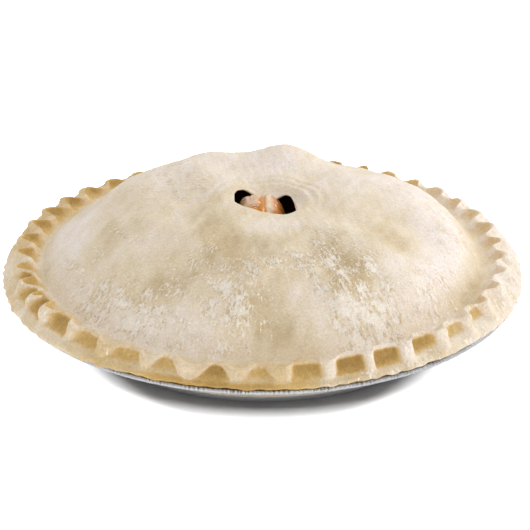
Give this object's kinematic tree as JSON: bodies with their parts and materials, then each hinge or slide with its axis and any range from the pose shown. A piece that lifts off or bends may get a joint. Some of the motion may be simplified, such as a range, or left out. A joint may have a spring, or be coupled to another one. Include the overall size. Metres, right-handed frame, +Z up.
{
  "type": "unbaked peach pie",
  "caption": "Unbaked peach pie: domed raw pastry lid with pinched edge folds, peach slices showing in its steam vent, in a round foil tin.",
  "frame": {"origin": "centre of the tin's base, on the surface that it stands on", "axes": "+Z up through the pie; -Y towards the front, where the edge folds are widest; +X to the right seen from the front"},
  "size_m": [0.245, 0.245, 0.0631],
  "materials": {
    "aluminium_foil": "thin crumpled foil, satin, with pressed pleats",
    "raw_pastry": "raw shortcrust pastry, matte, floured on its high places and golden where it was pinched",
    "wet_filling": "wet syrup and fruit, glossy, dark orange brown",
    "peach_flesh": "moist cut peach, orange with a cream highlight and sugar grains"
  },
  "bodies": {
    "root": {"foil_tin": "aluminium_foil", "crust": "raw_pastry", "filling": "wet_filling", "peach_slice_left": "peach_flesh", "peach_slice_right": "peach_flesh"}
  },
  "joints": []
}
